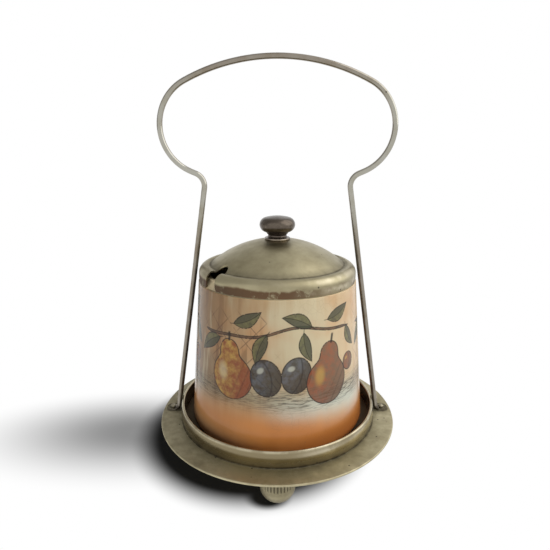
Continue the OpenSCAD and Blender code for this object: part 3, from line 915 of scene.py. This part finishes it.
class JAR_OT_rivets(Step):
    """Models the two rivets that hold the handle"""
    bl_idname = "jar.rivets"
    bl_label = "Rivets"

    def execute(self, context):
        s = context.scene.stand_sizes
        h = context.scene.handle_sizes
        finishes = context.scene.jar_finishes
        low = s.plate_top - s.plate_sheet
        high = s.plate_top + h.tab_sheet
        ball = (s.rivet_head ** 2 + s.rivet_rise ** 2) / (2 * s.rivet_rise)
        half = math.degrees(math.asin(s.rivet_head / ball))
        outline = arc((0, low - s.rivet_rise + ball), ball, 270, 270 + half, 8)
        outline += [(s.rivet_shank, low), (s.rivet_shank, high)]
        outline += arc((0, high + s.rivet_rise - ball), ball, 90 - half, 90, 8)
        pair = [lathe("rivet_pair", outline, 32, (side * s.rivet_place, 0)) for side in (1, -1)]
        start_clean()
        for rivet in pair:
            rivet.select_set(True)
        bpy.context.view_layer.objects.active = pair[0]
        bpy.ops.object.join()
        metal = plated_metal("rivet_metal", finishes, dull=0.12, clean=finishes.wire_grey)
        settle(pair[0], "stand", "handle_rivets", metal)
        return {"FINISHED"}


# Handle

class JAR_OT_handle(Step):
    """Bends the wire handle and hammers its ends flat"""
    bl_idname = "jar.handle"
    bl_label = "Wire handle"

    sides = 24
    heel_steps = 10
    dark_legs = (118 * MM, 80 * MM)
    worn_legs = (122 * MM, 95 * MM)
    worn_top = (160 * MM, 179 * MM)

    def execute(self, context):
        h = context.scene.handle_sizes
        s = context.scene.stand_sizes
        finishes = context.scene.jar_finishes
        half, heel, leg_x = self.path(context.scene)
        wire = [(-x, z) for x, z in reversed(half)] + half[1:]
        piece = self.tube("wire_handle", wire, h.wire)
        for side in (-1, 1):
            self.hammer(piece, side, heel, h, s)
        hold(piece, "EDIT")
        close_up()

        # Painted shade: darker at the heels next to the plate and on the legs' inner sides towards the jar.
        def dirt_and_shade(paint, mottle):
            off_tab = abs(paint.x).rise(s.rivet_place - 0.8 * MM, s.rivet_place - 1.8 * MM)
            low = paint.z.rise(s.plate_top + 5 * MM, s.plate_top + 1 * MM) * mottle.rise(0.3, 0.65) * 0.8
            inner = (leg_x(paint.z) - abs(paint.x)).rise(-0.1 * MM, 0.6 * MM) * paint.z.rise(*self.dark_legs)
            return off_tab * low.greater(inner * (0.55 + 0.4 * mottle))

        # Bare metal over the loop's top and the lower legs, and painted shade along the wire's inner and outer sides.
        def worn_and_shaded(paint, mottle):
            top = paint.z.rise(*self.worn_top) * 0.5
            legs = paint.z.rise(*self.worn_legs) * 0.45
            sides = abs(paint.y).rise(0.85 * h.wire, 0.2 * h.wire) * 0.5
            return top.greater(legs).greater(sides) * (0.6 + 0.8 * mottle)

        metal = plated_metal("handle_metal", finishes, dull=-0.06, wear=worn_and_shaded, grime_and_shade=dirt_and_shade,
                             clean=finishes.wire_grey, spun=0.0, gloss=0.13)
        settle(piece, "stand", "carry_handle", metal, sharp=60)
        return {"FINISHED"}

    def path(self, scene):
        """The wire's middle from the top to the right heel, the heel's own points and the leg's place at a height."""
        h, s = scene.handle_sizes, scene.stand_sizes
        shoulder_z = s.plate_top + scene.jar_sizes.height + scene.lid_sizes.skirt
        ring_z = s.plate_top + s.ring_height
        lean = math.atan((h.leg_low - h.leg_high) / (shoulder_z - ring_z))
        pass_x = h.leg_low + h.wire * math.cos(lean)
        pass_z = ring_z + h.wire * math.sin(lean)

        def leg_x(z):
            return pass_x + (pass_z - z) * math.tan(lean)

        top_c = (0, h.top_height - h.top_bend)
        side_x = h.half_width - h.side_bend
        side_c = (side_x, top_c[1] + math.sqrt((h.top_bend - h.side_bend) ** 2 - side_x ** 2))
        joined = math.degrees(math.atan2(side_c[1] - top_c[1], side_x))
        slope = h.under_slope
        under = math.degrees(slope) - 90
        start = arc(side_c, h.side_bend, under, under, 1)[0]
        run = (start[0] - leg_x(start[1])) / (math.cos(slope) + math.sin(slope) * math.tan(lean))
        corner = (start[0] - run * math.cos(slope), start[1] - run * math.sin(slope))
        trim = h.neck_bend * math.tan((math.pi / 2 - slope + lean) / 2)
        neck_c = (corner[0] + trim * math.cos(slope) + h.neck_bend * math.sin(slope),
                  corner[1] + trim * math.sin(slope) - h.neck_bend * math.cos(slope))
        heel_z = s.plate_top + h.tab_sheet / 2
        heel_c = (leg_x(heel_z) + h.heel_bend * math.tan((math.pi / 2 - lean) / 2), heel_z + h.heel_bend)
        lean_deg = math.degrees(lean)
        neck = arc(neck_c, h.neck_bend, 90 + math.degrees(slope), 180 + lean_deg, 14)
        heel = arc(heel_c, h.heel_bend, 180 + lean_deg, 270, self.heel_steps)
        half = arc(top_c, h.top_bend, 90, joined, 16) + arc(side_c, h.side_bend, joined, under, 36)[1:] + neck
        return half + between(half[-1], heel[0], 8) + heel, heel, leg_x

    def tube(self, name, wire, radius):
        """A round wire along a path in the handle's upright plane."""
        start_clean()
        bpy.ops.curve.primitive_bezier_curve_add()
        piece = bpy.context.object
        piece.name = name
        curve = piece.data
        curve.splines.clear()
        spline = curve.splines.new("POLY")
        spline.points.add(len(wire) - 1)
        for point, (x, z) in zip(spline.points, wire):
            point.co = (x, 0, z, 1)
        curve.dimensions = "3D"
        curve.bevel_depth = radius
        curve.bevel_resolution = (self.sides - 4) // 2
        piece.select_set(True)
        bpy.ops.object.convert(target="MESH")
        piece = bpy.context.object
        piece.name = piece.data.name = name
        return piece

    def hammer(self, piece, side, heel, h, s):
        """Flattens the wire through one heel and draws its end out into a rounded tab."""
        hold(piece, "EDIT")
        thin = h.tab_sheet / 2 / h.wire
        wide = h.tab_half / h.wire
        reach = 1.3 * h.wire
        for i, (x, z) in enumerate(heel):
            share = i / self.heel_steps
            before = heel[max(i - 1, 0)]
            after = heel[min(i + 1, self.heel_steps)]
            way = math.degrees(math.atan2(after[1] - before[1], after[0] - before[0]))
            centre = (side * x, 0, z)
            normal = Vector((side * math.cos(math.radians(way)), 0, math.sin(math.radians(way))))
            middle = Vector(centre)
            gap = 0.45 * math.dist(before, after) / (1 if i in (0, self.heel_steps) else 2)

            def on_ring(place):
                off = place - middle
                return off.length < reach and abs(off.dot(normal)) < gap
            pick(piece, on_ring)
            turn(side * way, centre, "Y")
            bpy.ops.transform.resize(value=(1, 1 + (wide - 1) * share, 1 + (thin - 1) * share),
                                     center_override=centre)
            turn(-side * way, centre, "Y")
        self.draw_tab(piece, side, heel[-1], h, s)
        bpy.ops.object.mode_set(mode="OBJECT")

    def draw_tab(self, piece, side, end, h, s):
        """Draws the open end out flat, past the rivet and round."""
        pick(piece, lambda place: abs(place.x - side * end[0]) < 0.02 * MM and place.z < s.plate_top + 2 * h.wire)
        stations = [(s.rivet_place, 1.0)]
        stations += [(s.rivet_place + h.tab_half * math.sin(a), max(math.cos(a), 0.12))
                     for a in (math.radians(d) for d in (20, 40, 55, 68, 78, 90))]
        x, width = end[0], 1.0
        for place, share in stations:
            bpy.ops.mesh.extrude_region_move(TRANSFORM_OT_translate={"value": (side * (place - x), 0, 0)})
            bpy.ops.transform.resize(value=(1, share / width, 1), center_override=(side * place, 0, end[1]))
            x, width = place, share
        bpy.ops.mesh.edge_face_add()


# Jar and lid

class JAR_OT_pottery(Step):
    """Throws the pottery jar on its axis"""
    bl_idname = "jar.pottery"
    bl_label = "Pottery jar"

    def execute(self, context):
        j = context.scene.jar_sizes
        low = context.scene.stand_sizes.plate_top
        lean = math.atan((j.base_radius - j.top_radius) / j.height)
        lean_deg = math.degrees(lean)
        base_c = (j.base_radius - j.base_round * (math.tan(lean) + 1 / math.cos(lean)), j.base_round)
        inner_base = j.base_radius - j.wall / math.cos(lean)
        inner_c = (inner_base - (j.floor + j.floor_round) * math.tan(lean) - j.floor_round / math.cos(lean),
                   j.floor + j.floor_round)
        neck = j.top_radius - j.ledge
        rim = j.height + j.neck - j.rim_round
        rim_out = neck - (j.neck - j.rim_round) * math.tan(j.neck_lean) - j.rim_round / math.cos(j.neck_lean)
        mouth = neck - j.neck_width
        mouth_z = j.height - j.wall
        bevel = j.recess_depth / 2
        outline = [(0, j.recess_depth), (j.recess - bevel, j.recess_depth), (j.recess, 0)]
        outline += arc(base_c, j.base_round, -90, lean_deg, 14)
        outline += between(outline[-1], (j.top_radius, j.height - j.ledge_round), 14)
        outline += arc((j.top_radius - j.ledge_round, j.height - j.ledge_round), j.ledge_round, lean_deg, 90, 6)
        outline += [(neck, j.height)]
        outline += arc((rim_out, rim), j.rim_round, math.degrees(j.neck_lean), 90, 6)
        outline += arc((mouth + j.rim_round, rim), j.rim_round, 90, 180, 6)
        outline += [(mouth, j.height), (inner_base - mouth_z * math.tan(lean), mouth_z)]
        outline += arc(inner_c, j.floor_round, lean_deg, -90, 10)
        outline += [(0, j.floor)]
        jar = lathe("pottery_jar", [(r, low + z) for r, z in outline], 224)
        glaze = glazed_jar("jar_glaze", context.scene.jar_finishes, j, low)
        settle(jar, "jar", "jar_body", glaze)
        return {"FINISHED"}


class JAR_OT_lid(Step):
    """Spins the lid and cuts its spoon notch"""
    bl_idname = "jar.lid"
    bl_label = "Domed lid"

    def execute(self, context):
        l = context.scene.lid_sizes
        low = context.scene.stand_sizes.plate_top + context.scene.jar_sizes.height
        outer = self.face(l, low, 0)
        inner = self.face(l, low, l.sheet)
        hem = arc((l.radius - l.sheet / 2, low + l.sheet / 2), l.sheet / 2, 180, 360, 8)
        outline = hem + outer[1:] + inner[:0:-1] + hem[:1]
        lid = lathe("domed_lid", outline, 224)
        self.cut_notch(lid, l, low)
        bend_z = low + l.skirt

        # Bare metal along the skirt, kept paler in patches on the right as painted light.
        def worn_and_shaded(paint, mottle):
            ragged = (paint.noise(130, detail=4) - 0.5) * (3 * MM)
            skirt = (paint.z + ragged).rise(bend_z + 0.7 * MM, bend_z - 0.5 * MM)
            hem = paint.z.rise(low + 0.2 * MM, low + 0.5 * MM)
            rub_and_sheen = paint.x.rise(4 * MM, 28 * MM) * paint.noise(75, detail=4).rise(0.36, 0.56)
            return skirt * hem * (1 - mottle.rise(0.5, 0.62).greater(rub_and_sheen) * 0.9)

        # Soiling in the groove and round the knob's seat, and painted shade on the left of the skirt.
        def dirt_and_shade(paint, mottle):
            radius = paint.from_axis()
            groove_r = l.radius - l.shoulder - l.groove
            line = radius.near(groove_r - 0.5 * MM, 1.2 * MM) * (0.55 + 0.35 * mottle.rise(0.25, 0.7))
            groove = line.greater(radius.near(groove_r - 0.6 * MM, 3.2 * MM) * (0.2 + 0.4 * mottle))
            seat = radius.near(l.flange + 0.3 * MM, 1.6 * MM) * mottle.rise(0.35, 0.8) * 0.2
            skirt = paint.z.rise(bend_z + 0.8 * MM, bend_z - 0.6 * MM) * paint.x.rise(-4 * MM, -26 * MM)
            return groove.greater(seat).greater(skirt * (0.2 + 0.3 * mottle))

        # Painted highlights along the shoulder's bend and on the skirt, strongest on the right towards the light, in
        # patches.
        def rubs_and_highlights(paint, mottle):
            patchy = (paint.noise(85, detail=4) * 0.6 + mottle * 0.4).rise(0.42, 0.62)
            lit = 0.25 + 0.75 * paint.x.rise(-14 * MM, 22 * MM)
            bend = paint.z.near(bend_z + 0.7 * l.shoulder, 2.2 * MM) * lit
            skirt = paint.z.near(low + 0.6 * l.skirt, 2 * MM) * paint.x.rise(2 * MM, 26 * MM)
            outside = paint.from_axis().rise(l.radius - l.shoulder - 0.6 * MM, l.radius - l.shoulder + 0.8 * MM)
            return (bend * 0.7).greater(skirt) * patchy * outside * 0.8

        metal = plated_metal("lid_metal", context.scene.jar_finishes, wear=worn_and_shaded, grime_and_shade=dirt_and_shade,
                             rub_and_sheen=rubs_and_highlights, gloss=0.31)
        settle(lid, "lid", "lid_shell", metal, sharp=30)
        return {"FINISHED"}

    def face(self, l, low, inset):
        """The lid's face from the skirt to the middle, or the face that lies inset under it."""
        shoulder_c = (l.radius - l.shoulder, low + l.skirt)
        rim = low + l.skirt + l.shoulder
        ball = (l.groove ** 2 + l.groove_depth ** 2) / (2 * l.groove_depth)
        groove_c = (l.radius - l.shoulder - l.groove, rim + ball - l.groove_depth)
        base = groove_c[0] - l.groove
        cap = (base ** 2 + l.dome ** 2) / (2 * l.dome)
        dome_c = (0, rim + l.dome - cap)
        seat_z = dome_c[1] + math.sqrt(cap ** 2 - l.seat ** 2)
        bend, hollow, shell = l.shoulder - inset, ball + inset, cap - inset
        out_to = meet(shoulder_c, bend, groove_c, hollow, -1)
        in_from = meet(groove_c, hollow, shoulder_c, bend, 1)
        in_to = meet(groove_c, hollow, dome_c, shell, -1)
        dome_from = meet(dome_c, shell, groove_c, hollow, 1)
        seat_from = math.degrees(math.asin((seat_z - inset - dome_c[1]) / shell))
        points = [(l.radius - inset, low), (l.radius - inset, low + 0.5 * l.skirt)]
        points += arc(shoulder_c, bend, 0, out_to, 12)
        points += arc(groove_c, hollow, in_from, in_to, 10)[1:]
        points += arc(dome_c, shell, dome_from, seat_from, 26)[1:]
        points += [(0.5 * l.seat, seat_z - inset), (0, seat_z - inset)]
        return points

    def cut_notch(self, lid, l, low):
        """Cuts the slot for the spoon, then rounds the skirt's corners beside it."""
        past = 2 * MM
        end = l.radius - l.notch_length + l.notch
        out = l.radius + past
        slot = [(out, -l.notch), (out, l.notch)] + arc((end, 0), l.notch, 90, 270, 20)
        slot = [(x, y, low - past) for x, y in slot]
        self.swing_and_cut(lid, prism("notch_slot", slot, (0, 0, l.dome + l.skirt + past)), l)
        corner = [(l.notch + l.notch_corner, -past)]
        corner += arc((l.notch + l.notch_corner, l.notch_corner), l.notch_corner, 270, 180, 8)
        side = l.radius - 2 * l.shoulder
        flare = [(side, y, low + z) for y, z in corner + [(0, 2 * l.notch_corner)]]
        flare += [(side, -y, low + z) for y, z in reversed(corner)]
        self.swing_and_cut(lid, prism("notch_flare", flare, (out - side, 0, 0)), l)

    def swing_and_cut(self, lid, cutter, l):
        """Turns a cutter to the notch's direction and cuts it out of the lid."""
        hold(cutter, "EDIT")
        take_all()
        turn(270 - math.degrees(l.notch_turn), (0, 0, 0), "Z")
        bpy.ops.object.mode_set(mode="OBJECT")
        cut_away(lid, cutter)


class JAR_OT_knob(Step):
    """Turns the knob and finishes the screw and washer that hold it"""
    bl_idname = "jar.knob"
    bl_label = "Knob"

    def execute(self, context):
        l = context.scene.lid_sizes
        finishes = context.scene.jar_finishes
        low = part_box("lid_knob")[0].z
        bead = l.flange_height / 2
        crown_turn = math.acos((l.knob - l.cap_round) / (l.crown - l.cap_round))
        crown_c = (0, l.knob_height - l.crown)
        cap_c = (crown_c[0] + (l.crown - l.cap_round) * math.cos(crown_turn),
                 crown_c[1] + (l.crown - l.cap_round) * math.sin(crown_turn))
        under = math.degrees(math.asin((cap_c[0] - l.waist) / l.cap_round))
        outline = [(0, 0)] + arc((l.flange - bead, bead), bead, -90, 90, 12)
        outline += arc((l.waist + l.flare, l.flange_height + l.flare), l.flare, 270, 180, 10)
        outline += arc(cap_c, l.cap_round, under - 90, math.degrees(crown_turn), 28)
        outline += arc(crown_c, l.crown, math.degrees(crown_turn), 90, 8)[1:]
        knob = lathe("turned_knob", [(r, low + z) for r, z in outline], 96)
        settle(knob, "lid", "lid_knob", knob_bronze("knob_bronze", finishes, l, low))
        metal = plated_metal("screw_metal", finishes, dull=0.1, clean=finishes.wire_grey)
        for node in ("knob_screw", "knob_washer"):
            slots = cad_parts[node].data.materials
            slots.clear()
            slots.append(metal)
        return {"FINISHED"}


# Stage

class JAR_OT_stage(Step):
    """Sets the floor, the lights and the camera"""
    bl_idname = "jar.stage"
    bl_label = "Stage"

    lamp_width = 0.8
    lamps = {"key_light": ((0.75, -0.31, 0.87), 10.6), "fill_light": ((-0.6, -0.8, 0.25), 3)}
    lamp_aim = (0, 0, 0.06)
    room_light = 0.16
    picture_px, focal_px = 550, 460
    camera_place = (-1.09 * MM, -211.94 * MM, 140.64 * MM)
    camera_dip = 14.63

    def execute(self, context):
        self.floor(context.scene.stand_sizes)
        self.grey_card()
        self.window_card()
        self.world(context.scene)
        for name, (place, power) in self.lamps.items():
            self.lamp(context.scene, name, place, power)
        self.camera(context.scene)
        return {"FINISHED"}

    def floor(self, s):
        """A floor that shows white, apart from a dark patch painted where the object's shadow falls, with small
        painted shadows at the feet.
        """
        start_clean()
        bpy.ops.mesh.primitive_plane_add(size=8)
        floor = bpy.context.object
        floor.name = "studio_floor"
        paint = new_paint("white_floor_painted_shadow")
        seen = paint.ray("Camera")
        # Seen by the camera the floor is near black wherever the painted shadow shows.
        grey = paint.mix(seen, (0.86,) * 3, (0.05,) * 3)
        matt = paint.node("ShaderNodeBsdfDiffuse", None, {"Color": grey})
        # Painted shadow: a disc under the plate, a tail to the left and a small disc next to each foot; outside it
        # the floor glows white.
        under = self.reach(paint, (-12, 5), (57, 57)).rise(0.85, 1.13)
        shadow_tail = self.reach(paint, (-70, 1), (90, 41)).rise(0.1, 1.15) * 0.74 + 0.26
        share = under * shadow_tail * seen.greater(paint.ray("Glossy")).greater(paint.ray("Transmission"))
        for degrees in FOOT_TURNS.values():
            x, y = foot_centre(s, degrees)
            share = share * self.reach(paint, (x / MM - 4, y / MM), (9, 7)).rise(0.6, 1.25)
        floor.data.materials.append(paint.end(paint.blend(share, matt, paint.glow((1, 1, 1)))))

    def reach(self, paint, centre, size):
        """Distance on the floor from a centre in millimetres, as a share of the given size."""
        across, along = ((way - c * MM) / (r * MM) for way, c, r in zip((paint.x, paint.y), centre, size))
        return paint.length(paint.vector(across, along))

    def grey_card(self):
        """A grey card over and left of the object."""
        start_clean()
        bpy.ops.mesh.primitive_plane_add(size=2, location=(-0.95, 0.5, 0.85))
        card = bpy.context.object
        bpy.ops.object.mode_set(mode="EDIT")
        pick(card, lambda place: place.x < 0)
        bpy.ops.mesh.extrude_region_move(TRANSFORM_OT_translate={"value": (0.7, 0, -0.7)})
        bpy.ops.object.mode_set(mode="OBJECT")
        self.mirror_only(card, "grey_card", 0.54, 0.76)

    def window_card(self):
        """A bright card to the right, where the key light comes from."""
        start_clean()
        bpy.ops.mesh.primitive_plane_add(size=1.3, location=(0.85, -0.1, 0.75), rotation=(0, math.radians(50), 0))
        self.mirror_only(bpy.context.object, "window_card", 2.3, 2.3)

    def mirror_only(self, card, name, left, right):
        """Lets only reflections see a card, whose light changes from its left to its right."""
        card.name = card.data.name = name
        paint = new_paint(name)
        clear = paint.node("ShaderNodeBsdfTransparent")
        light = paint.glow(paint.mix(paint.x.rise(0.3, 1), (left,) * 3, (right,) * 3))
        card.data.materials.append(paint.end(paint.blend(paint.ray("Glossy"), clear, light)))

    def world(self, scene):
        """A dim room for the light, which the camera and reflections see as white."""
        paint = Paint(bpy.data.worlds.new("studio"))
        seen = paint.ray("Camera").greater(paint.ray("Transmission")).greater(paint.ray("Glossy"))
        room = paint.node("ShaderNodeBackground", None, {"Strength": self.room_light})
        white = paint.node("ShaderNodeBackground", None, {"Color": (1, 1, 1)})
        scene.world = paint.end(paint.blend(seen, room, white), "ShaderNodeOutputWorld")

    def lamp(self, scene, name, place, power):
        """A square lamp that reflections don't see."""
        light = bpy.data.lights.new(name, "AREA")
        light.size = self.lamp_width
        light.energy = power
        lamp = bpy.data.objects.new(name, light)
        lamp.location = place
        lamp.visible_glossy = False
        lamp.rotation_euler = (Vector(self.lamp_aim) - Vector(place)).to_track_quat("-Z", "Y").to_euler()
        scene.collection.objects.link(lamp)

    def camera(self, scene):
        """A camera at the photograph's place and angle."""
        lens = bpy.data.cameras.new("photo_camera")
        lens.sensor_width = 36
        lens.lens = self.focal_px / self.picture_px * lens.sensor_width
        lens.clip_start = 0.01
        camera = bpy.data.objects.new("photo_camera", lens)
        camera.location = self.camera_place
        camera.rotation_euler = (math.radians(90 - self.camera_dip), 0, 0)
        scene.collection.objects.link(camera)
        scene.camera = camera
        scene.view_settings.view_transform = "Standard"


# Panel and registration

STEPS = (JAR_OT_stage, JAR_OT_plate, JAR_OT_ring, JAR_OT_feet, JAR_OT_handle, JAR_OT_rivets,
         JAR_OT_pottery, JAR_OT_lid, JAR_OT_knob)
GROUPS = {"stand_sizes": StandSizes, "handle_sizes": HandleSizes, "jar_sizes": JarSizes,
          "lid_sizes": LidSizes, "jar_finishes": Finishes}


class JAR_PT_steps(Panel):
    """Lists the steps and the sizes and colours behind them"""
    bl_label = "Preserve jar"
    bl_idname = "JAR_PT_steps"
    bl_space_type = "VIEW_3D"
    bl_region_type = "UI"
    bl_category = "Preserve jar"

    def draw(self, context):
        for step in STEPS:
            self.layout.operator(step.bl_idname)
        for name, group in GROUPS.items():
            box = self.layout.box()
            for key in group.__annotations__:
                box.prop(getattr(context.scene, name), key)


def register():
    """Registers the property groups, the steps and the panel."""
    for name, group in GROUPS.items():
        bpy.utils.register_class(group)
        setattr(bpy.types.Scene, name, PointerProperty(type=group))
    for step in STEPS:
        bpy.utils.register_class(step)
    bpy.utils.register_class(JAR_PT_steps)


def unregister():
    """Takes everything off again."""
    bpy.utils.unregister_class(JAR_PT_steps)
    for step in reversed(STEPS):
        bpy.utils.unregister_class(step)
    for name, group in GROUPS.items():
        delattr(bpy.types.Scene, name)
        bpy.utils.unregister_class(group)


def main():
    """Registers the add-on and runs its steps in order."""
    register()
    for step in STEPS:
        family, action = step.bl_idname.split(".")
        getattr(getattr(bpy.ops, family), action)()
    start_clean()


if __name__ == "__main__":
    main()
